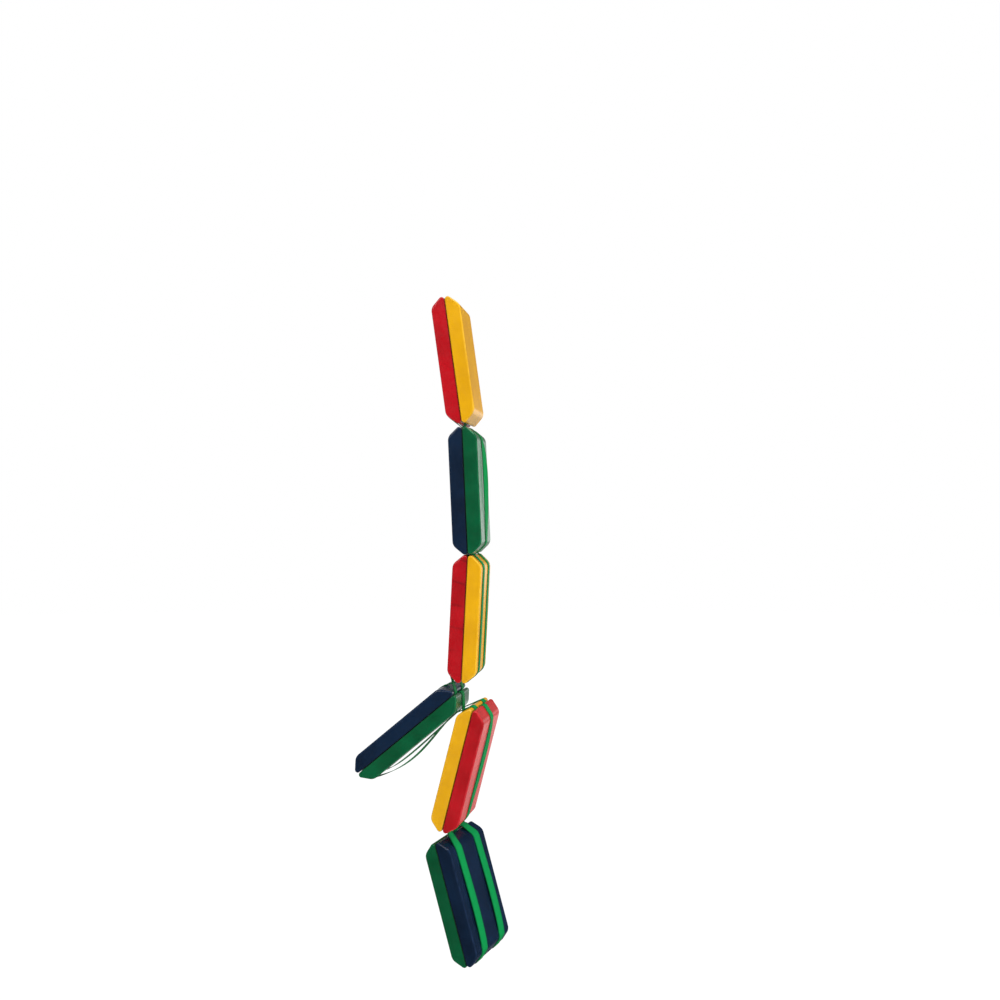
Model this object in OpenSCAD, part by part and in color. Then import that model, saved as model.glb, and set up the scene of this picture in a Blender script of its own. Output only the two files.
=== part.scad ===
// A Jacob's ladder: six flat wooden blocks in a chain, joined by crossing ribbons.
// Each block is two painted half plates glued face to face. Every pair of neighbours
// shares three ribbons, whose ends are caught in the seams between the half plates.
// Local frame of a block: X through its thickness, Y across its width, Z along its length.
// The origin is the middle of block 1, by which the chain is held up.

/* [Block] */
// Length of a block from nose to nose
block_l = 63; // [48:0.5:90]
// Width of a block
block_w = 40; // [32:0.5:60]
// Thickness of one half plate
plate_t = 7.1; // [6:0.1:10]

/* [Ends] */
// Slope of the end bevels, measured from square across
bevel_angle = 42; // [32:1:52]
// Radius where a bevel runs into the broad face
shoulder_r = 4.7; // [2:0.1:5]
// Radius of a half plate's nose beside the seam
nose_r = 1.4; // [0.4:0.1:1.8]
// Radius of the eased long edges
edge_r = 0.8; // [0.3:0.1:1.5]

/* [Ribbons] */
// Width of a ribbon
ribbon_w = 6.5; // [4:0.1:8]
// Thickness of a ribbon
ribbon_t = 0.26; // [0.2:0.01:0.4]
// Distance of the outer ribbons from the middle one
ribbon_pitch = 10.5; // [9:0.1:11]
// Length of ribbon caught in a seam
tab_l = 8; // [4:0.5:14]
// Space between a ribbon and the wood it lies on
ribbon_clear = 0.04; // [0.03:0.01:0.1]

/* [Slack] */
// How far at most the taut ribbons stand off their block
taut_bow = 0.1; // [0:0.1:2]
// The same for the ribbon on block 2 and the three between blocks 5 and 6
loose_bow = 0.8; // [0:0.1:3]
// The same for the near ribbon that bulges from the turning block 4
loop_bow = 4.2; // [0:0.1:7]
// The same for the far ribbon of that block
far_loop_bow = 1.7; // [0:0.1:7]
// Where along block 4 these two stand off most, as a share of their length from its free end
loop_peak = 0.36; // [0.25:0.01:0.75]

/* [Hinges] */
// Space between the noses of two blocks that hang in line
nose_gap = 1.3; // [1.2:0.1:2]
// The same for blocks 3 and 4
turn_gap = 0.4; // [0.3:0.1:2]
// How far in from the noses blocks 4 and 5 roll on each other's shoulders
roll_in = 3.2; // [0:0.1:4]
// Space between the broad faces of two blocks folded flat together
pile_gap = 0.7; // [0.4:0.05:1]

/* [Pose] */
// Lean of block 1, its lower end to the right
lean_1 = 7.9; // [0:0.1:15]
// Fold from in line between blocks 1 and 2
fold_12 = 5.3; // [-6:0.1:60]
// Fold from in line between blocks 2 and 3
fold_23 = -5.5; // [-7:0.1:60]
// Fold from in line between blocks 3 and 4
fold_34 = 47.4; // [30:0.1:70]
// Fold from in line between blocks 4 and 5
fold_45 = 144.2; // [130:0.1:160]
// Fold from in line between blocks 5 and 6
fold_56 = 29.4; // [0:0.1:60]
// Twist of block 4 against block 3
twist_34 = -1.8; // [-8:0.1:8]
// Twist of block 5 against block 4
twist_45 = -2.5; // [-8:0.1:8]
// Twist of block 6 against block 5
twist_56 = -12.9; // [-18:0.1:4]
// Sideways tilt of block 4 against block 3
tilt_34 = 1.2; // [-3:0.1:3]
// Sideways tilt of block 5 against block 4
tilt_45 = 2.7; // [-3:0.1:3]

/* [Hidden] */
SHOULDER_STEPS = 4;
NOSE_STEPS = 5;
FACE_STEPS = 10;
SPAN_STEPS = 3;
EDGE_LAYERS = 2;

// The ribbons fill the seam, with their clearance on both sides
ribbon_mid = ribbon_clear + ribbon_t / 2;
seam = 2 * ribbon_mid;
block_t = 2 * plate_t + seam;

RED = "#b5121b";
YELLOW = "#f0b400";
NAVY = "#1b2444";
GREEN = "#0d6a3c";
RIBBON = "#22a055";

// Colour names of the half plates on the -X and the +X side of each block
PLATE_NAMES = [
    ["red", "yellow"], ["navy", "green"], ["red", "yellow"],
    ["navy", "green"], ["yellow", "red"], ["green", "navy"]
];
PAINTS = [["red", RED], ["yellow", YELLOW], ["navy", NAVY], ["green", GREEN]];
LANES = [["near", -1], ["middle", 0], ["far", 1]];

// Affine transforms
function turn_x(a) = [[1, 0, 0, 0], [0, cos(a), -sin(a), 0], [0, sin(a), cos(a), 0], [0, 0, 0, 1]];
function turn_y(a) = [[cos(a), 0, sin(a), 0], [0, 1, 0, 0], [-sin(a), 0, cos(a), 0], [0, 0, 0, 1]];
function turn_z(a) = [[cos(a), -sin(a), 0, 0], [sin(a), cos(a), 0, 0], [0, 0, 1, 0], [0, 0, 0, 1]];
function shift(v) = [[1, 0, 0, v.x], [0, 1, 0, v.y], [0, 0, 1, v.z], [0, 0, 0, 1]];
function column(m, i) = [m[0][i], m[1][i], m[2][i]];
function apply(m, p) = column(m, 3) + column(m, 0) * p.x + column(m, 1) * p.y + column(m, 2) * p.z;
// A point in the frame of the rigid transform m
function within(m, p) = [for (i = [0:2]) column(m, i) * (p - column(m, 3))];

// The five hinges. Each gives the face and the end of the upper block that meet the lower
// one, the same for the lower block, the gap in line, the turn between the two blocks at
// rest, and whether the outer ribbons lie on the upper block.
PAIRS = [
    [[-1, -1], [-1, 1], nose_gap, turn_y(fold_12), true],
    [[1, -1], [1, 1], nose_gap, turn_y(-fold_23), false],
    [[-1, -1], [-1, 1], turn_gap, turn_y(fold_34) * turn_x(tilt_34) * turn_z(twist_34), true],
    [[1, 1], [-1, 1], -2 * roll_in, turn_y(fold_45 - 180) * turn_x(tilt_45) * turn_z(twist_45), true],
    [[1, -1], [1, 1], nose_gap, turn_y(-fold_56) * turn_z(twist_56), false]
];

// Point of a hinge line in a block's own frame
function hinge_point(at, gap) = [at[0] * (block_t + pile_gap) / 2, 0, at[1] * (block_l + gap) / 2];

// Where block k hangs, counted from 0
function block_pose(k) = k == 0 ? turn_y(-lean_1) : let (pair = PAIRS[k - 1])
    block_pose(k - 1) * shift(hinge_point(pair[0], pair[2])) * pair[3]
    * shift(-hinge_point(pair[1], pair[2]));

POSES = [for (k = [0:5]) block_pose(k)];

// Round the end of a half plate, at distance d outside it, from the broad face over the
// shoulder, the bevel and the nose. Points are [out from the seam, in from the nose].
function end_arc(centre, r, from, to, steps) =
    [for (i = [0:steps]) let (a = from + (to - from) * i / steps) centre + r * [cos(a), sin(a)]];

function plate_end(d, thickness) =
    let (
        fillet = min(shoulder_r, thickness - nose_r),
        run = thickness - fillet - nose_r,
        rise = (run * sin(bevel_angle) + fillet - nose_r) / cos(bevel_angle),
        nose = [seam / 2 + nose_r, nose_r],
        shoulder = nose + [run, rise],
        bevel = bevel_angle - 90
    )
    concat(
        end_arc(shoulder, fillet + d, 0, bevel, SHOULDER_STEPS),
        end_arc(nose, nose_r + d, bevel, -180, NOSE_STEPS)
    );

// Outline of a half plate on the +X side, drawn in by an inset from its face and its noses
function plate_outline(inset) =
    let (
        end = [for (p = plate_end(0, plate_t - inset)) [p[0], p[1] + inset - block_l / 2]],
        last = len(end) - 1
    )
    concat(end, [for (i = [last:-1:0]) [end[i][0], -end[i][1]]]);

// A half plate whose long edges are rounded in steps from the full outline to the side
module half_plate() {
    hull()
        for (i = [0:EDGE_LAYERS]) {
            a = 90 * i / EDGE_LAYERS;
            rotate([90, 0, 0])
                linear_extrude(block_w - 2 * edge_r * (1 - sin(a)), center = true)
                    polygon(plate_outline(edge_r * (1 - cos(a))));
        }
}

function paint(name) = [for (p = PAINTS) if (p[0] == name) p[1]][0];

// Half plate of block k on the -X side (0) or the +X side (1)
module plate(k, i) {
    color(paint(PLATE_NAMES[k][i]))
        multmatrix(POSES[k])
            rotate([0, 0, i == 0 ? 180 : 0])
                half_plate();
}

// Middle line of a ribbon round one end of the half plate at [face, end], in the block's
// own frame, from the broad face to the end of its tab
function end_line(at, y) =
    [for (p = concat(plate_end(ribbon_mid, plate_t), [[0, tab_l]]))
        [at[0] * p[0], y, at[1] * (block_l / 2 - p[1])]];

// Middle line along the broad face, from the far end to the end at, bowed off the wood most
// at the share peak of its length
function face_line(at, y, bow, peak) =
    let (
        first = end_line([at[0], -at[1]], y)[0],
        last = end_line(at, y)[0]
    )
    [for (i = [1:FACE_STEPS - 1])
        let (s = i / FACE_STEPS, rise = at[0] * bow * pow(sin(180 * pow(s, ln(0.5) / ln(peak))), 2))
        first + (last - first) * s + [rise, 0, 0]];

function side_of(a, b, p) = (b[0] - a[0]) * (p[1] - a[1]) - (b[1] - a[1]) * (p[0] - a[0]);

// Where a ribbon pulled straight leaves one end line and touches the other: the pair of
// points whose line has all of the first end on one side and all of the second on the other
function crossing(from, to, sense) =
    [for (i = [0:len(from) - 1]) for (j = [0:len(to) - 1])
        if (min([for (p = from) sense * side_of(from[i], to[j], p)]) > -0.0001
            && max([for (p = to) sense * side_of(from[i], to[j], p)]) < 0.0001) [i, j]][0];

// Stations along a ribbon: [point, direction across the ribbon]
function ribbon_stations(pair, lane, bow, peak) =
    let (
        hinge = PAIRS[pair],
        own = (lane == 0) != hinge[4] ? 0 : 1,
        home = POSES[pair + own],
        away = POSES[pair + 1 - own],
        at = hinge[own],
        y = lane * ribbon_pitch,
        start = end_line([at[0], -at[1]], y),
        leave = end_line(at, y),
        arrive = end_line(hinge[1 - own], y),
        leave_flat = [for (p = leave) [p.x, p.z]],
        arrive_flat = [for (p = arrive) let (q = within(home, apply(away, p))) [q.x, q.z]],
        touch = crossing(leave_flat, arrive_flat, at[0] * at[1]),
        across_home = column(home, 1),
        across_away = column(away, 1),
        p0 = apply(home, leave[touch[0]]),
        p1 = apply(away, arrive[touch[1]]),
        own_line = concat(
            [for (i = [len(start) - 1:-1:0]) start[i]],
            face_line(at, y, bow, peak),
            [for (i = [0:touch[0]]) leave[i]]
        )
    )
    concat(
        [for (p = own_line) [apply(home, p), across_home]],
        [for (i = [1:SPAN_STEPS]) let (s = i / (SPAN_STEPS + 1))
            [p0 + (p1 - p0) * s, across_home + (across_away - across_home) * s]],
        [for (i = [touch[1]:len(arrive) - 1]) [apply(away, arrive[i]), across_away]]
    );

function unit(v) = v / norm(v);

// Corners of the ribbon's section at station i, mitred between the two stretches it joins
function ribbon_section(line, i) =
    let (
        last = len(line) - 1,
        before = unit(line[max(i, 1)][0] - line[max(i, 1) - 1][0]),
        after = unit(line[min(i, last - 1) + 1][0] - line[min(i, last - 1)][0]),
        across = unit(line[i][1]),
        out = unit(cross(across, before + after)),
        mitre = norm(before + after) / 2,
        half = out * ribbon_t / 2 / mitre,
        edge = across * ribbon_w / 2
    )
    [for (c = [[-1, -1], [1, -1], [1, 1], [-1, 1]]) line[i][0] + edge * c[0] + half * c[1]];

// Ribbon of hinge pair (counted from 0) in a lane from near (-1) to far (1)
module ribbon(pair, lane) {
    loop = pair == 3 && lane != 0;
    loose = pair == 4 || pair == 1 && lane == 0;
    bow = loop ? (lane == -1 ? loop_bow : far_loop_bow) : loose ? loose_bow : taut_bow;
    line = ribbon_stations(pair, lane, bow, loop ? loop_peak : 0.5);
    last = len(line) - 1;
    points = [for (i = [0:last]) each ribbon_section(line, i)];
    walls = [for (i = [0:last - 1]) for (c = [0:3])
        let (a = 4 * i + c, b = 4 * i + (c + 1) % 4) each [[a, b, b + 4], [a, b + 4, a + 4]]];
    end = 4 * last;
    caps = [[0, 2, 1], [0, 3, 2], [end, end + 1, end + 2], [end, end + 2, end + 3]];
    color(RIBBON)
        polyhedron(points, concat(walls, caps));
}

function plate_name(k, i) = str("block_", k + 1, "_", PLATE_NAMES[k][i]);
function ribbon_name(pair, lane) = str("ribbon_", pair + 1, pair + 2, "_", lane);

for (k = [0:5])
    for (i = [0:1])
        plate(k, i);

for (pair = [0:4])
    for (lane = LANES)
        ribbon(pair, lane[1]);
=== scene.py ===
"""Looks of a Jacob's ladder: six painted wooden blocks in a hanging chain, joined by ribbons.

Lengths are in millimetres until a finished mesh is scaled to metres. In a block's own frame
X runs through its thickness, Y across its width and Z along its length.
"""
import math

import bmesh
import bpy
from mathutils import Matrix, Vector
from mathutils.geometry import interpolate_bezier


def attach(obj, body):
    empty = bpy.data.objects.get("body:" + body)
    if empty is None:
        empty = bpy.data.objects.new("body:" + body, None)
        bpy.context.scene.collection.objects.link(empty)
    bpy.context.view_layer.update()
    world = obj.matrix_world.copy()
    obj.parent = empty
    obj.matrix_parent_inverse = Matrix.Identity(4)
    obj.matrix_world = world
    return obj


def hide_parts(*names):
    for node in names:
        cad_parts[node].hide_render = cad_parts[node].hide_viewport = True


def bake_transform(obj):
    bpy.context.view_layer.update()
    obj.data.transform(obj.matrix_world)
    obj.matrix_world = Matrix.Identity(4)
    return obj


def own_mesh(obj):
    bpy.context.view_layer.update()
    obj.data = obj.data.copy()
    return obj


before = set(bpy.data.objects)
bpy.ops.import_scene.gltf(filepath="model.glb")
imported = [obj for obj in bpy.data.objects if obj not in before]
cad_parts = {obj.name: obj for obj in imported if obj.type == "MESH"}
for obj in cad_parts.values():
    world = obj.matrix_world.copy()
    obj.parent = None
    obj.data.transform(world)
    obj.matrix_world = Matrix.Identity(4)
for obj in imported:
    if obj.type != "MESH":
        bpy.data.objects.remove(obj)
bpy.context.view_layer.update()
scene = bpy.context.scene
scene.view_settings.view_transform = "Standard"

MM = 0.001

# Half plates, as in the solids
BLOCK_L, BLOCK_W, PLATE_T = 63, 40, 7.1
BEVEL_ANGLE, SHOULDER_R, NOSE_R, EDGE_R = 42, 4.7, 1.4, 0.8

# Ribbons, which fill the seam between the half plates with their clearance on both sides
RIBBON_W, RIBBON_T, RIBBON_PITCH, TAB_L = 6.5, 0.26, 10.5, 8
RIBBON_CLEAR = 0.04
RIBBON_MID = RIBBON_CLEAR + RIBBON_T / 2
SEAM = 2 * RIBBON_MID
BLOCK_T = 2 * PLATE_T + SEAM
SELVEDGE = 0.45

# The glue in the seam: how far in from the plates' edges it starts, and what parts its halves
GLUE_INSET, GLUE_GAP = 7, 0.02

# Gaps of the hinges, and how far in from the noses blocks 4 and 5 roll on their shoulders
NOSE_GAP, TURN_GAP, PILE_GAP, ROLL_IN = 1.3, 0.4, 0.7, 3.2

# Points along the rounded ends, the eased edges, a ribbon on its block and its free span
SHOULDER_STEPS, NOSE_STEPS, EDGE_STEPS, FACE_STEPS, SPAN_STEPS = 10, 14, 4, 28, 14

# How far at most the ribbons stand off their block, and where along it they do: an exponent
# below 1 brings that place nearer to the block's free end
TAUT_BOW, SLACK_PLACE = 0.1, 0.7
SLACK_BOWS = {"23_middle": 0.95, "56_near": 0.8, "56_middle": 0.6, "56_far": 0.8}
LOOP_BOWS = {"45_near": 4.2, "45_far": 1.7}
# Some slack ribbons also twist, by the degrees that lift their far edge off the block
SLACK_TILTS = {"23_middle": 14, "45_near": 5.5, "45_far": 5, "56_middle": 6}
# The loops leave the shoulder LOOP_STEPS points before the broad face, where it slopes by
# LOOP_SLOPE from that face, and settle over the share LOOP_SETTLE of their length
LOOP_STEPS, LOOP_SETTLE = 5, 0.3
LOOP_SLOPE = (90 - BEVEL_ANGLE) * LOOP_STEPS / SHOULDER_STEPS

# Colours of the half plates on the -X and the +X side of each block
PLATES = [
    ("red", "yellow"), ("navy", "green"), ("red", "yellow"),
    ("navy", "green"), ("yellow", "red"), ("green", "navy"),
]
# Strength of the saw marks on the plate where they show through the paint, and elsewhere
SAW_MARKS, FAINT_MARKS = {(3, "red"): 0.3}, 0.02
# Moves the paint's patterns from plate to plate, so that no two plates are alike
PATTERN_SHIFT = (97, 61, 173)
# Places of the ribbons across a block
LANES = {"near": -1, "middle": 0, "far": 1}

# Pattern sizes in the paint: patches of thicker and thinner coat, grain lines' width and
# length, brush marks, rubbed spots on the edges, and the distance between saw marks
PATCH, GRAIN_W, GRAIN_L, BRUSH, RUB, SAW_PITCH = 14, 0.7, 30, 1.6, 4, 11
# Pattern sizes in the ribbons: the ribs across, the warp ends along, and slubs' width and length
RIB_PITCH, WARP_PITCH, SLUB_W, SLUB_L = 0.6, 0.4, 0.8, 5

# Colours of the dirt in saw marks, of the painted shade over bare wood in the seams, and of the
# ribbons' yarn, selvedges with their painted edge shade, and gleam
SAW_DIRT, SEAM_SHADE_AND_BARE_WOOD = "#1a0808", "#150d08"
YARN_DARK, YARN_LIGHT, SELVEDGE_AND_EDGE_SHADE_TONE, GLEAM = "#006634", "#029249", "#00542a", "#00c868"

# Distances that count as touching, as past a ribbon's bend, and as lying in a flat side
TOUCH, AHEAD, FLAT = 1e-4, 1e-3, 0.01
# Edges of a ribbon that turn by more degrees than this stay sharp
SHARP_ANGLE = 50


def turn(axis, degrees):
    """Rotation about an axis through the origin."""
    return Matrix.Rotation(math.radians(degrees), 4, axis)


# For each hinge: the face and end of the upper block that meet the lower one, the same for
# the lower block, the gap in line, the turn at rest, and whether the outer ribbons lie on
# the upper block
HINGES = {
    "12": ((-1, -1), (-1, 1), NOSE_GAP, turn("Y", 5.3), True),
    "23": ((1, -1), (1, 1), NOSE_GAP, turn("Y", 5.5), False),
    "34": (
        (-1, -1), (-1, 1), TURN_GAP,
        turn("Y", 47.4) @ turn("X", 1.2) @ turn("Z", -1.8), True,
    ),
    "45": (
        (1, 1), (-1, 1), -2 * ROLL_IN,
        turn("Y", -35.8) @ turn("X", 2.7) @ turn("Z", -2.5), True,
    ),
    "56": ((1, -1), (1, 1), NOSE_GAP, turn("Y", -29.4) @ turn("Z", -12.9), False),
}


def hinge_point(at, gap):
    """Where the hinge line crosses the middle plane of a block, at that face and end."""
    return Vector((at[0] * (BLOCK_T + PILE_GAP) / 2, 0, at[1] * (BLOCK_L + gap) / 2))


UPPER_LEAN = 7.9
poses = [turn("Y", -UPPER_LEAN)]
for upper, lower, gap, rest_turn, _ in HINGES.values():
    poses.append(
        poses[-1] @ Matrix.Translation(hinge_point(upper, gap)) @ rest_turn
        @ Matrix.Translation(-hinge_point(lower, gap))
    )


# Camera, at the photograph's viewing angle and distance
CAMERA_AIM = Vector((21.378, 0, -69.202)) * MM
CAMERA_DISTANCE, CAMERA_AZIMUTH, CAMERA_ELEVATION = 715.9 * MM, 6.022, -0.506
CAMERA_LENS, CAMERA_SENSOR = 51.008, 36
azimuth, elevation = math.radians(CAMERA_AZIMUTH), math.radians(CAMERA_ELEVATION)
back = Vector((
    math.sin(azimuth) * math.cos(elevation),
    -math.cos(azimuth) * math.cos(elevation),
    math.sin(elevation),
))
camera_data = bpy.data.cameras.new("camera")
camera_data.lens = CAMERA_LENS
camera_data.sensor_width = CAMERA_SENSOR
camera = bpy.data.objects.new("camera", camera_data)
camera.location = CAMERA_AIM + back * CAMERA_DISTANCE
camera.rotation_euler = (-back).to_track_quat("-Z", "Y").to_euler()
scene.collection.objects.link(camera)
scene.camera = camera


def srgb(code):
    """Linear RGBA of an sRGB hex colour."""
    parts = [int(code[i:i + 2], 16) / 255 for i in (1, 3, 5)]
    return [p / 12.92 if p <= 0.04045 else ((p + 0.055) / 1.055) ** 2.4 for p in parts] + [1]


def add(tree, kind, inputs, **settings):
    """A node with its settings; an input is a value or the output socket that feeds it."""
    node = tree.nodes.new(kind)
    for name, value in settings.items():
        setattr(node, name, value)
    for name, value in inputs.items():
        if isinstance(value, bpy.types.NodeSocket):
            tree.links.new(value, node.inputs[name])
        else:
            node.inputs[name].default_value = value
    return node


def new_material(name):
    """A material with an empty node tree, and the tree."""
    material = bpy.data.materials.new(name)
    material.use_nodes = True
    material.node_tree.nodes.clear()
    return material, material.node_tree


def gloss_paint(name, colour, thin, deep, haze):
    """Gloss enamel brushed on close-grained hardwood and rubbed by handling.

    The grain lines print through faintly along the block, the coat pools and thins into
    lighter and deeper patches, and it is rubbed thin along the eased edges. Fine scratches
    give a pale haze at a low angle. Saw marks across the block show through on some plates,
    and the seam is darkened with painted shade of the groove between the halves, over bare
    wood where the paint stops."""
    material, tree = new_material(name)
    place = add(tree, "ShaderNodeAttribute", {}, attribute_name="block_mm").outputs["Vector"]
    edge = add(tree, "ShaderNodeAttribute", {}, attribute_name="eased_edge").outputs["Fac"]
    from_seam = add(tree, "ShaderNodeAttribute", {}, attribute_name="seam_mm").outputs["Fac"]
    marks = add(tree, "ShaderNodeAttribute", {}, attribute_name="saw_marks").outputs["Fac"]

    patches = add(tree, "ShaderNodeTexNoise", {"Vector": place, "Scale": 1 / PATCH, "Detail": 3})
    along = add(
        tree, "ShaderNodeMapping",
        {"Vector": place, "Scale": (1 / GRAIN_W, 1 / GRAIN_W, 1 / GRAIN_L)},
    )
    grain = add(tree, "ShaderNodeTexNoise", {"Vector": along.outputs[0], "Scale": 1, "Detail": 3})
    pores = add(tree, "ShaderNodeMapRange", {"Value": grain.outputs[0], 1: 0.58, 2: 0.7})
    # Brush and sanding marks
    uneven = add(tree, "ShaderNodeTexNoise", {"Vector": place, "Scale": 1 / BRUSH, "Detail": 2})

    patch_tone = add(tree, "ShaderNodeMapRange", {"Value": patches.outputs[0], 1: 0.35, 2: 0.65})
    coat = add(
        tree, "ShaderNodeMix",
        {"Factor": patch_tone.outputs[0], 6: srgb(colour), 7: srgb(deep)}, data_type="RGBA",
    )
    pore_share = add(
        tree, "ShaderNodeMath", {0: pores.outputs[0], 1: 0.35}, operation="MULTIPLY"
    )
    lined = add(
        tree, "ShaderNodeMix",
        {"Factor": pore_share.outputs[0], 6: coat.outputs[2], 7: srgb(deep)}, data_type="RGBA",
    )
    # Rubbed spots along the edges
    spots = add(tree, "ShaderNodeTexNoise", {"Vector": place, "Scale": 1 / RUB, "Detail": 4})
    rubbed = add(tree, "ShaderNodeMapRange", {"Value": spots.outputs[0], 1: 0.3, 2: 0.75})
    wear = add(tree, "ShaderNodeMath", {0: rubbed.outputs[0], 1: edge}, operation="MULTIPLY")
    worn = add(
        tree, "ShaderNodeMix",
        {"Factor": wear.outputs[0], 6: lined.outputs[2], 7: srgb(thin)}, data_type="RGBA",
    )
    # Saw marks, about 0.6 mm wide, aslant, bent and broken by the noise. At a scale of 1 the
    # bands repeat every 2 pi / 20.
    aslant = add(
        tree, "ShaderNodeMapping", {"Vector": place, "Rotation": (0, math.radians(9), 0)}
    )
    saw = add(
        tree, "ShaderNodeTexWave",
        {
            "Vector": aslant.outputs[0], "Scale": 2 * math.pi / 20 / SAW_PITCH,
            "Distortion": 9, "Detail Scale": 0.3,
        },
        wave_type="BANDS", bands_direction="Z",
    )
    saw_line = add(
        tree, "ShaderNodeMapRange", {"Value": saw.outputs["Fac"], 1: 0.05, 2: 0}
    )
    depth = add(tree, "ShaderNodeMapRange", {"Value": patches.outputs[0], 1: 0.38, 2: 0.55})
    sawn = add(
        tree, "ShaderNodeMath",
        {0: saw_line.outputs[0], 1: depth.outputs[0]}, operation="MULTIPLY",
    )
    saw_share = add(
        tree, "ShaderNodeMath", {0: sawn.outputs[0], 1: marks}, operation="MULTIPLY"
    )
    marked = add(
        tree, "ShaderNodeMix",
        {"Factor": saw_share.outputs[0], 6: worn.outputs[2], 7: srgb(SAW_DIRT)}, data_type="RGBA",
    )
    # Painted shade of the groove between the half plates, over bare wood where the paint stops,
    # within about 0.3 mm of the seam
    seam = add(
        tree, "ShaderNodeMapRange", {"Value": from_seam, 1: 0.05, 2: 0.35, 3: 0.6, 4: 0}
    )
    coloured = add(
        tree, "ShaderNodeMix",
        {"Factor": seam.outputs[0], 6: marked.outputs[2], 7: srgb(SEAM_SHADE_AND_BARE_WOOD)}, data_type="RGBA",
    )
    gloss = add(
        tree, "ShaderNodeMapRange", {"Value": uneven.outputs[0], 1: 0.3, 2: 0.7, 3: 0.19, 4: 0.27}
    )
    grain_bump = add(
        tree, "ShaderNodeBump",
        {"Height": grain.outputs[0], "Strength": 0.25, "Distance": 0.1 * MM},
    )
    bump = add(
        tree, "ShaderNodeBump",
        {
            "Height": uneven.outputs[0], "Strength": 0.2, "Distance": 0.12 * MM,
            "Normal": grain_bump.outputs[0],
        },
    )
    shader = add(
        tree, "ShaderNodeBsdfPrincipled",
        {
            "Base Color": coloured.outputs[2], "Roughness": gloss.outputs[0],
            "Normal": bump.outputs[0], "IOR": 1.5, "Specular IOR Level": 0.4,
            "Sheen Weight": 0.55, "Sheen Roughness": 0.4, "Sheen Tint": srgb(haze),
        },
    )
    add(tree, "ShaderNodeOutputMaterial", {"Surface": shader.outputs[0]})
    return material


def ribbon_cloth():
    """Woven polyester taffeta ribbon, plain weave with ribs across and firm selvedges.

    Smooth filament yarn gives a soft gleam on the bends, and the fine ribs across the ribbon
    dull it elsewhere."""
    material, tree = new_material("polyester taffeta ribbon, green")
    place = add(tree, "ShaderNodeAttribute", {}, attribute_name="weave_mm").outputs["Vector"]
    axes = add(tree, "ShaderNodeSeparateXYZ", {"Vector": place})

    # Weft ribs, about 0.3 mm apart on the real ribbon and drawn coarser so that they show
    rib = add(
        tree, "ShaderNodeMath",
        {0: axes.outputs["Y"], 1: 2 * math.pi / RIB_PITCH}, operation="MULTIPLY",
    )
    rib_wave = add(tree, "ShaderNodeMath", {0: rib.outputs[0]}, operation="SINE")
    # Warp ends, drawn coarser too
    warp = add(
        tree, "ShaderNodeMath",
        {0: axes.outputs["X"], 1: 2 * math.pi / WARP_PITCH}, operation="MULTIPLY",
    )
    warp_wave = add(tree, "ShaderNodeMath", {0: warp.outputs[0]}, operation="SINE")
    weave = add(
        tree, "ShaderNodeMath",
        {0: warp_wave.outputs[0], 1: 0.4, 2: rib_wave.outputs[0]}, operation="MULTIPLY_ADD",
    )
    # Selvedge, where the weft turns back, and painted shade that darkens the ribbon towards its
    # edges as if they rounded over, in one band wider than the selvedge
    across = add(tree, "ShaderNodeMath", {0: axes.outputs["X"]}, operation="ABSOLUTE")
    selvedge_and_edge_shade = add(
        tree, "ShaderNodeMapRange",
        {
            "Value": across.outputs[0],
            1: RIBBON_W / 2 - SELVEDGE - 0.6, 2: RIBBON_W / 2 - SELVEDGE + 0.3,
        },
    )
    # Slubs and handling marks
    stretched = add(
        tree, "ShaderNodeMapping", {"Vector": place, "Scale": (1 / SLUB_W, 1 / SLUB_L, 1)}
    )
    slubs = add(
        tree, "ShaderNodeTexNoise", {"Vector": stretched.outputs[0], "Scale": 1, "Detail": 2}
    )
    # The yarn is painted darker in the grooves between ribs and warp ends: painted shade
    weave_groove_shade = add(
        tree, "ShaderNodeMapRange", {"Value": weave.outputs[0], 1: -1.4, 2: 1.4, 3: 0.1, 4: 0.55}
    )
    tone = add(
        tree, "ShaderNodeMath",
        {0: slubs.outputs[0], 1: 0.6, 2: weave_groove_shade.outputs[0]}, operation="MULTIPLY_ADD",
    )
    yarn = add(
        tree, "ShaderNodeMix",
        {"Factor": tone.outputs[0], 6: srgb(YARN_DARK), 7: srgb(YARN_LIGHT)}, data_type="RGBA",
    )
    # The yarn darkened towards both edges: the selvedge's own tone, and painted shade of rounded
    # edges
    selvedge_shade_share = add(
        tree, "ShaderNodeMath", {0: selvedge_and_edge_shade.outputs[0], 1: 0.7}, operation="MULTIPLY"
    )
    edged = add(
        tree, "ShaderNodeMix",
        {"Factor": selvedge_shade_share.outputs[0], 6: yarn.outputs[2], 7: srgb(SELVEDGE_AND_EDGE_SHADE_TONE)},
        data_type="RGBA",
    )
    height = add(
        tree, "ShaderNodeMath",
        {0: selvedge_and_edge_shade.outputs[0], 1: 1.2, 2: weave.outputs[0]}, operation="MULTIPLY_ADD",
    )
    bump = add(
        tree, "ShaderNodeBump",
        {"Height": height.outputs[0], "Strength": 0.35, "Distance": 0.03 * MM},
    )
    shader = add(
        tree, "ShaderNodeBsdfPrincipled",
        {
            "Base Color": edged.outputs[2], "Roughness": 0.48, "Normal": bump.outputs[0],
            "Specular IOR Level": 0.04, "Sheen Weight": 0.04, "Sheen Roughness": 0.4,
            "Sheen Tint": srgb(GLEAM),
        },
    )
    add(tree, "ShaderNodeOutputMaterial", {"Surface": shader.outputs[0]})
    return material


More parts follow.
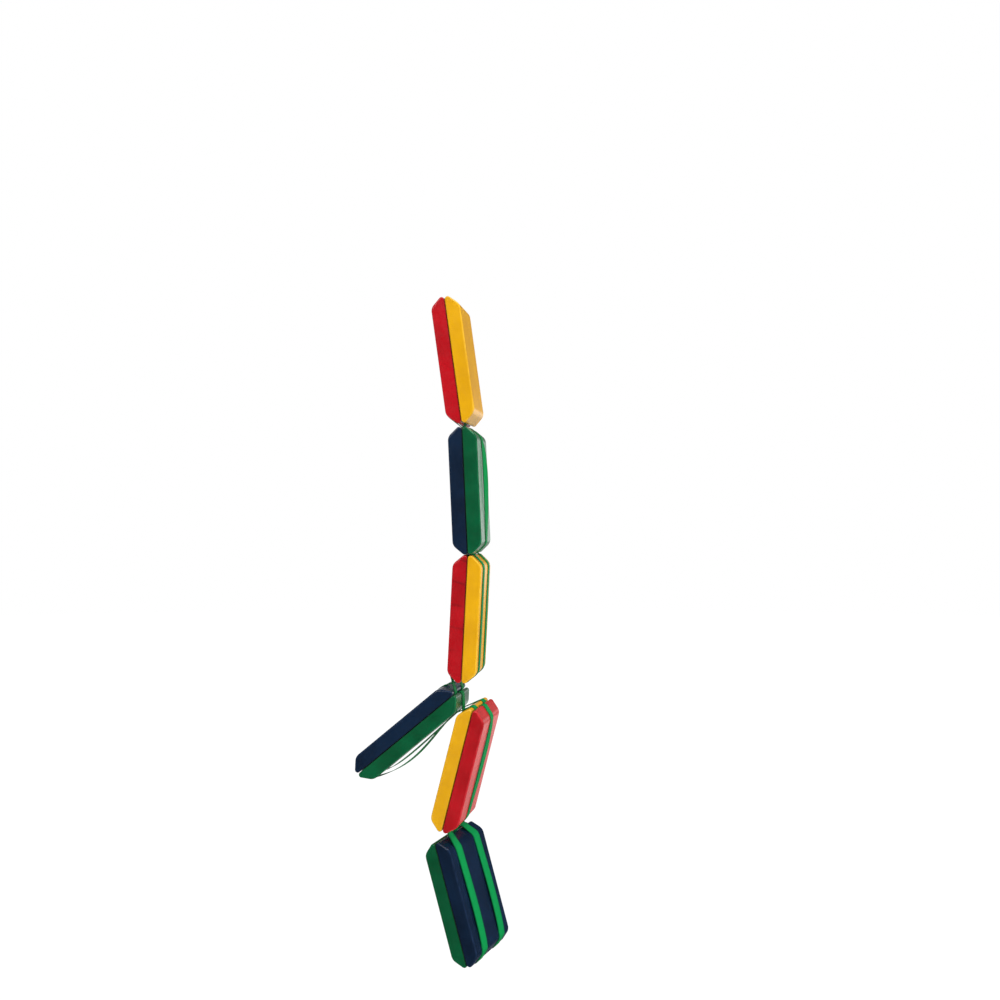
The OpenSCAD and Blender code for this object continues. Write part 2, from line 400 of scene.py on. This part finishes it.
# Colours of the coat, where it is rubbed thin, where it is deep, and of its haze
COATS = {
    "red": ("#ac0614", "#c42c34", "#98040e", "#ff6058"),
    "yellow": ("#d69e00", "#e6b834", "#ca9200", "#c88f10"),
    "navy": ("#0c2038", "#1c2f4c", "#0a1a2e", "#313d57"),
    "green": ("#005430", "#1a7046", "#004828", "#638a70"),
}
PAINTS = {
    colour: gloss_paint(f"gloss enamel on hardwood, {colour}", *tones)
    for colour, tones in COATS.items()
}
RIBBON_CLOTH = ribbon_cloth()


def finished(bm, name, material, place):
    """The mesh moved to its place in metres, as an object at the origin."""
    bm.transform(Matrix.Scale(MM, 4) @ place)
    mesh = bpy.data.meshes.new(name)
    bm.to_mesh(mesh)
    bm.free()
    mesh.materials.append(material)
    mesh.polygons.foreach_set("use_smooth", [True] * len(mesh.polygons))
    piece = bpy.data.objects.new(name, mesh)
    scene.collection.objects.link(piece)
    return piece


def arc(centre, radius, start, stop, steps):
    """Points along an arc between two angles in degrees."""
    angles = [math.radians(start + (stop - start) * i / steps) for i in range(steps + 1)]
    return [(centre[0] + radius * math.cos(a), centre[1] + radius * math.sin(a)) for a in angles]


def plate_end(distance):
    """Round the end of a half plate at a distance outside it, from the broad face to the seam.

    Points are (out from the middle of the seam, in from the nose)."""
    bevel = math.radians(BEVEL_ANGLE)
    run = PLATE_T - SHOULDER_R - NOSE_R
    rise = (run * math.sin(bevel) + SHOULDER_R - NOSE_R) / math.cos(bevel)
    nose = (SEAM / 2 + NOSE_R, NOSE_R)
    shoulder = (nose[0] + run, nose[1] + rise)
    line = arc(shoulder, SHOULDER_R + distance, 0, BEVEL_ANGLE - 90, SHOULDER_STEPS)
    return line + arc(nose, NOSE_R + distance, BEVEL_ANGLE - 90, -180, NOSE_STEPS)


def half_plate(offset, marks):
    """A half plate on the +X side: a rounded outline drawn across the width in layers."""
    end = [(x, BLOCK_L / 2 - z) for x, z in plate_end(0)]
    bm = bmesh.new()
    edge_layer = bm.verts.layers.float.new("eased_edge")
    side = bm.faces.new([
        bm.verts.new((x, 0, z)) for x, z in end + [(x, -z) for x, z in reversed(end)]
    ])
    verts, edges = side.verts[:], side.edges[:]
    rounds = [i * math.pi / 2 / EDGE_STEPS for i in range(EDGE_STEPS + 1)]
    layers = [(-1, a) for a in reversed(rounds)] + [(1, a) for a in rounds]
    before = (1, 1, 1)
    for index, (sign, a) in enumerate(layers):
        if index:
            made = bmesh.ops.extrude_edge_only(bm, edges=edges)["geom"]
            verts = [g for g in made if isinstance(g, bmesh.types.BMVert)]
            edges = [g for g in made if isinstance(g, bmesh.types.BMEdge)]
        inset = EDGE_R * (1 - math.cos(a))
        size = ((PLATE_T - inset) / PLATE_T, 1, (BLOCK_L / 2 - inset) / (BLOCK_L / 2))
        y = sign * (BLOCK_W / 2 - EDGE_R * (1 - math.sin(a)))
        bmesh.ops.translate(bm, verts=verts, vec=(0, y - verts[0].co.y, 0))
        bmesh.ops.scale(
            bm, verts=verts, vec=[s / b for s, b in zip(size, before)],
            space=Matrix.Translation((-SEAM / 2, 0, 0)),
        )
        before = size
        for vert in verts:
            vert[edge_layer] = math.sin(2 * a)
    bmesh.ops.holes_fill(bm, edges=edges)
    bmesh.ops.recalc_face_normals(bm, faces=bm.faces[:])
    # The glue in the middle of the seam, between the ribbon tabs
    seam_face = max((f for f in bm.faces if f.normal.x < -0.99), key=lambda f: f.calc_area())
    bmesh.ops.inset_region(
        bm, faces=[seam_face], thickness=GLUE_INSET, depth=RIBBON_MID - GLUE_GAP
    )
    grain = bm.verts.layers.float_vector.new("block_mm")
    from_seam = bm.verts.layers.float.new("seam_mm")
    saw = bm.verts.layers.float.new("saw_marks")
    for vert in bm.verts:
        vert[saw] = marks * (abs(vert.co.y) > BLOCK_W / 2 - FLAT)
        vert[grain] = vert.co + offset
        vert[from_seam] = vert.co.x - SEAM / 2
    return bm


for number, (colours, pose) in enumerate(zip(PLATES, poses), 1):
    for side, colour in enumerate(colours):
        offset = Vector([s * n for s, n in zip(PATTERN_SHIFT, (number, side, number))])
        place = pose if side else pose @ turn("Z", 180)
        bm = half_plate(offset, SAW_MARKS.get((number, colour), FAINT_MARKS))
        plate = finished(bm, f"plate_{number}_{colour}", PAINTS[colour], place)
        smooth = plate.modifiers.new("even faces", "WEIGHTED_NORMAL")
        smooth.keep_sharp = False
        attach(plate, f"block_{number}")
        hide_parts(f"block_{number}_{colour}")


def end_line(at, y):
    """Middle line of a ribbon round one end of a half plate, from the broad face to its tab."""
    line = plate_end(RIBBON_MID) + [(0, TAB_L)]
    return [Vector((at[0] * x, y, at[1] * (BLOCK_L / 2 - z))) for x, z in line]


def side_of(a, b, p):
    """On which side of the line from a to b a point lies, in the XZ plane, by its sign."""
    return (b.x - a.x) * (p.z - a.z) - (b.z - a.z) * (p.x - a.x)


def crossing(leave, arrive, sense):
    """Where a ribbon pulled straight leaves one end line and touches the other."""
    for i, a in enumerate(leave):
        for j, b in enumerate(arrive):
            if (min(sense * side_of(a, b, p) for p in leave) > -TOUCH
                    and max(sense * side_of(a, b, p) for p in arrive) < TOUCH):
                return i, j


# Places of a ribbon's points across it
COLUMNS = [-RIBBON_W / 2, SELVEDGE - RIBBON_W / 2, -1, 1, RIBBON_W / 2 - SELVEDGE, RIBBON_W / 2]


def strip(bm, stations):
    """A stretch of ribbon along stations of (point, direction across, length so far)."""
    weave = bm.verts.layers.float_vector["weave_mm"]
    made = bmesh.ops.create_grid(
        bm, x_segments=len(COLUMNS) - 1, y_segments=len(stations) - 1, size=1
    )["verts"]
    made.sort(key=lambda v: (round(v.co.y, 5), v.co.x))
    for index, vert in enumerate(made):
        point, across, length = stations[index // len(COLUMNS)]
        u = COLUMNS[index % len(COLUMNS)]
        vert.co = point + across.normalized() * u
        vert[weave] = (u, length, 0)


def thickened(piece):
    """The strip given its thickness, half of it on either side."""
    wall = piece.modifiers.new("thickness", "SOLIDIFY")
    wall.thickness = RIBBON_T * MM
    wall.offset = 0
    graph = bpy.context.evaluated_depsgraph_get()
    graph.update()
    mesh = bpy.data.meshes.new_from_object(piece.evaluated_get(graph))
    piece.modifiers.clear()
    mesh.set_sharp_from_angle(angle=math.radians(SHARP_ANGLE))
    piece.data = mesh
    return piece


def slack_share(t):
    """Share of its greatest slack along a ribbon, which gathers towards the free end."""
    return math.sin(math.pi * t ** SLACK_PLACE)


def loop_line(first, last, at, bow):
    """A slack ribbon that leaves the shoulder at a slope and settles back on the broad face."""
    slope = math.radians(LOOP_SLOPE)
    # The first handle lifts a cubic curve by 4/9 of its own height
    lift = bow * 9 / 4 / math.sin(slope)
    a = first + Vector((at[0] * math.sin(slope), 0, at[1] * math.cos(slope))) * lift
    b = last - Vector((0, 0, at[1])) * (last - first).length * LOOP_SETTLE
    return interpolate_bezier(first, a, b, last, FACE_STEPS + 1)


def add_ribbon(pair, lane):
    """A ribbon from its seam round both ends of its home block, and across to the other's seam."""
    upper, lower, _, _, outers_above = HINGES[pair]
    on_upper = (lane != "middle") == outers_above
    numbers = [int(pair[0]), int(pair[1])]
    home_number, away_number = numbers if on_upper else numbers[::-1]
    home, away = poses[home_number - 1], poses[away_number - 1]
    at, away_at = (upper, lower) if on_upper else (lower, upper)
    y = LANES[lane] * RIBBON_PITCH
    name = f"ribbon_{pair}_{lane}"
    loop = LOOP_BOWS.get(f"{pair}_{lane}")
    bow = loop or SLACK_BOWS.get(f"{pair}_{lane}", TAUT_BOW)
    tilt = SLACK_TILTS.get(f"{pair}_{lane}", 0)

    start = end_line((at[0], -at[1]), y)[::-1]
    leave = end_line(at, y)
    arrive = end_line(away_at, y)
    i, j = crossing(leave, [home.inverted() @ away @ p for p in arrive], at[0] * at[1])
    if loop:
        start = start[:-LOOP_STEPS]
        face = loop_line(start[-1], leave[0], at, loop)
    else:
        face = [
            start[-1].lerp(leave[0], t) + Vector((at[0] * bow * slack_share(t), 0, 0))
            for t in (step / FACE_STEPS for step in range(FACE_STEPS + 1))
        ]
    p0, p1 = home @ leave[i], away @ arrive[j]
    across_home, across_away = home.to_3x3().col[1], away.to_3x3().col[1]

    def across_face(t):
        """Direction across the ribbon on the broad face, with its twist."""
        a = math.radians(tilt) * slack_share(t)
        return across_home * math.cos(a) + home.to_3x3().col[0] * at[0] * math.sin(a)

    parts = [
        [(home @ p, across_home) for p in start],
        [(home @ p, across_face(k / FACE_STEPS)) for k, p in enumerate(face)],
        [(home @ p, across_home) for p in leave[:i + 1]],
        [(p0.lerp(p1, s / SPAN_STEPS), across_home.lerp(across_away, s / SPAN_STEPS))
         for s in range(1, SPAN_STEPS)],
        [(away @ p, across_away) for p in arrive[j:]],
    ]
    # Each station gets the length of ribbon up to it, for the weave
    length, before, measured = 0, None, []
    for part in parts:
        line = []
        for point, across in part:
            length += (point - before).length if before else 0
            before = point
            line.append((point, across, length))
        measured.append(line)
    far_end, face, near_end, span, tab = measured

    def piece_of(piece_name, stretches):
        """A piece of this ribbon, made of one or more stretches."""
        bm = bmesh.new()
        bm.verts.layers.float_vector.new("weave_mm")
        for stations in stretches:
            strip(bm, stations)
        piece = thickened(finished(bm, piece_name, RIBBON_CLOTH, Matrix.Identity(4)))
        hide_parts(name)
        return piece

    if bow > TAUT_BOW:
        ends = piece_of(name + "_ends", [far_end, near_end + span + tab])
        slack = piece_of(name + "_slack", [face])
        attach(slack, f"block_{home_number}")
        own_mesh(slack)
    else:
        ends = piece_of(name + "_strip", [far_end + face[1:-1] + near_end + span + tab])
    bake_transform(ends)


for pair in HINGES:
    for lane in LANES:
        add_ribbon(pair, lane)


FLOOR_Z, FLOOR_RADIUS = -400, 4000
# Glow of the white paper, and brightness in reflections of the dark room round it
PAPER_GLOW, ROOM = 1.065, 0.03
# What the lights point at, near the middle of the object
LIGHT_AIM = CAMERA_AIM * 2


def ray_kinds(tree):
    """Whether a ray comes from the camera, and whether it was mirrored or passed through."""
    rays = add(tree, "ShaderNodeLightPath", {})
    mirrored = add(
        tree, "ShaderNodeMath",
        {0: rays.outputs["Is Glossy Ray"], 1: rays.outputs["Is Transmission Ray"]},
        operation="MAXIMUM",
    )
    return rays.outputs["Is Camera Ray"], mirrored.outputs[0]


def studio_floor():
    """White paper floor with a soft shadow, which runs up into the white behind the object.

    The camera sees it as white. Reflections see it lit behind the object, fading further back,
    and dark to the right and in front."""
    bm = bmesh.new()
    bmesh.ops.create_circle(bm, cap_ends=True, segments=96, radius=FLOOR_RADIUS)
    material, tree = new_material("white paper")
    seen, mirrored = ray_kinds(tree)
    place = add(tree, "ShaderNodeTexCoord", {})
    axes = add(tree, "ShaderNodeSeparateXYZ", {"Vector": place.outputs["Object"]})
    way = add(
        tree, "ShaderNodeMath", {0: axes.outputs["X"], 1: axes.outputs["Y"]}, operation="DIVIDE"
    )
    # Dark to the right of a line that runs back from the object
    behind = add(
        tree, "ShaderNodeMapRange", {"Value": way.outputs[0], 1: 0.4, 2: 0.6, 3: 1, 4: ROOM}
    )
    # Dark in front, brightest about a metre behind the object and dimmer beyond that
    beyond = add(
        tree, "ShaderNodeMapRange", {"Value": axes.outputs["Y"], 1: 0.1, 2: 1.0, 3: ROOM, 4: 0.8}
    )
    fading = add(
        tree, "ShaderNodeMapRange", {"Value": axes.outputs["Y"], 1: 1.3, 2: 1.6, 3: 1, 4: 0.4}
    )
    lit = add(
        tree, "ShaderNodeMath", {0: beyond.outputs[0], 1: fading.outputs[0]}, operation="MULTIPLY"
    )
    sheet = add(
        tree, "ShaderNodeMath", {0: behind.outputs[0], 1: lit.outputs[0]}, operation="MULTIPLY"
    )
    level = add(
        tree, "ShaderNodeMix", {"Factor": mirrored, 2: PAPER_GLOW, 3: sheet.outputs[0]}
    )
    # The camera sees the shadow on the paper near the object, and only the glow further out
    distance = add(
        tree, "ShaderNodeVectorMath", {0: place.outputs["Object"]}, operation="LENGTH"
    )
    white = add(
        tree, "ShaderNodeMapRange",
        {"Value": distance.outputs["Value"], 1: 0.6, 2: 1.6, 3: 0.75, 4: 1},
    )
    share = add(
        tree, "ShaderNodeMix",
        {"Factor": seen, 2: mirrored, 3: white.outputs[0]},
    )
    paper = add(tree, "ShaderNodeBsdfDiffuse", {"Color": srgb("#f4f4f4")})
    glow = add(
        tree, "ShaderNodeEmission", {"Color": srgb("#ffffff"), "Strength": level.outputs[0]}
    )
    both = add(
        tree, "ShaderNodeMixShader",
        {0: share.outputs[0], 1: paper.outputs[0], 2: glow.outputs[0]},
    )
    add(tree, "ShaderNodeOutputMaterial", {"Surface": both.outputs[0]})
    finished(bm, "floor", material, Matrix.Translation((0, 0, FLOOR_Z)))


def studio_world():
    """White for the camera, and for reflections only low behind the object.

    A soft fill that is brighter from the right lights the object."""
    world = bpy.data.worlds.new("studio")
    world.use_nodes = True
    scene.world = world
    tree = world.node_tree
    tree.nodes.clear()
    seen, mirrored = ray_kinds(tree)
    way = add(tree, "ShaderNodeTexCoord", {})
    axes = add(tree, "ShaderNodeSeparateXYZ", {"Vector": way.outputs["Generated"]})
    # The white sheet in reflections, straight behind the object and only a little above level
    behind = add(
        tree, "ShaderNodeMapRange", {"Value": axes.outputs["Y"], 1: 0.88, 2: 0.95, 3: ROOM, 4: 1}
    )
    below = add(
        tree, "ShaderNodeMapRange", {"Value": axes.outputs["Z"], 1: 0.03, 2: 0.12, 3: 1, 4: 0.12}
    )
    sheet = add(
        tree, "ShaderNodeMath", {0: behind.outputs[0], 1: below.outputs[0]}, operation="MULTIPLY"
    )
    # The light on the object, brighter from the right
    fill = add(
        tree, "ShaderNodeMapRange", {"Value": axes.outputs["X"], 1: -0.2, 2: 1, 3: 0.32, 4: 2.1}
    )
    level = add(
        tree, "ShaderNodeMix",
        {"Factor": mirrored, 2: fill.outputs[0], 3: sheet.outputs[0]},
    )
    strength = add(tree, "ShaderNodeMix", {"Factor": seen, 2: level.outputs[0], 3: 1.0})
    sky = add(
        tree, "ShaderNodeBackground", {"Color": srgb("#ffffff"), "Strength": strength.outputs[0]}
    )
    add(tree, "ShaderNodeOutputWorld", {"Surface": sky.outputs[0]})


def softbox(name, location, size, watts):
    """A round soft light, with its place and size in metres, aimed at the object."""
    data = bpy.data.lights.new(name, "AREA")
    data.shape = "DISK"
    data.size = size
    data.energy = watts
    lamp = bpy.data.objects.new(name, data)
    lamp.location = location
    lamp.rotation_euler = (LIGHT_AIM - lamp.location).to_track_quat("-Z", "Y").to_euler()
    scene.collection.objects.link(lamp)


studio_floor()
studio_world()
softbox("key", Vector((-0.7, -1.4, 0.8)), 0.9, 12)
softbox("top", Vector((0.6, -0.5, 1.4)), 0.9, 12)
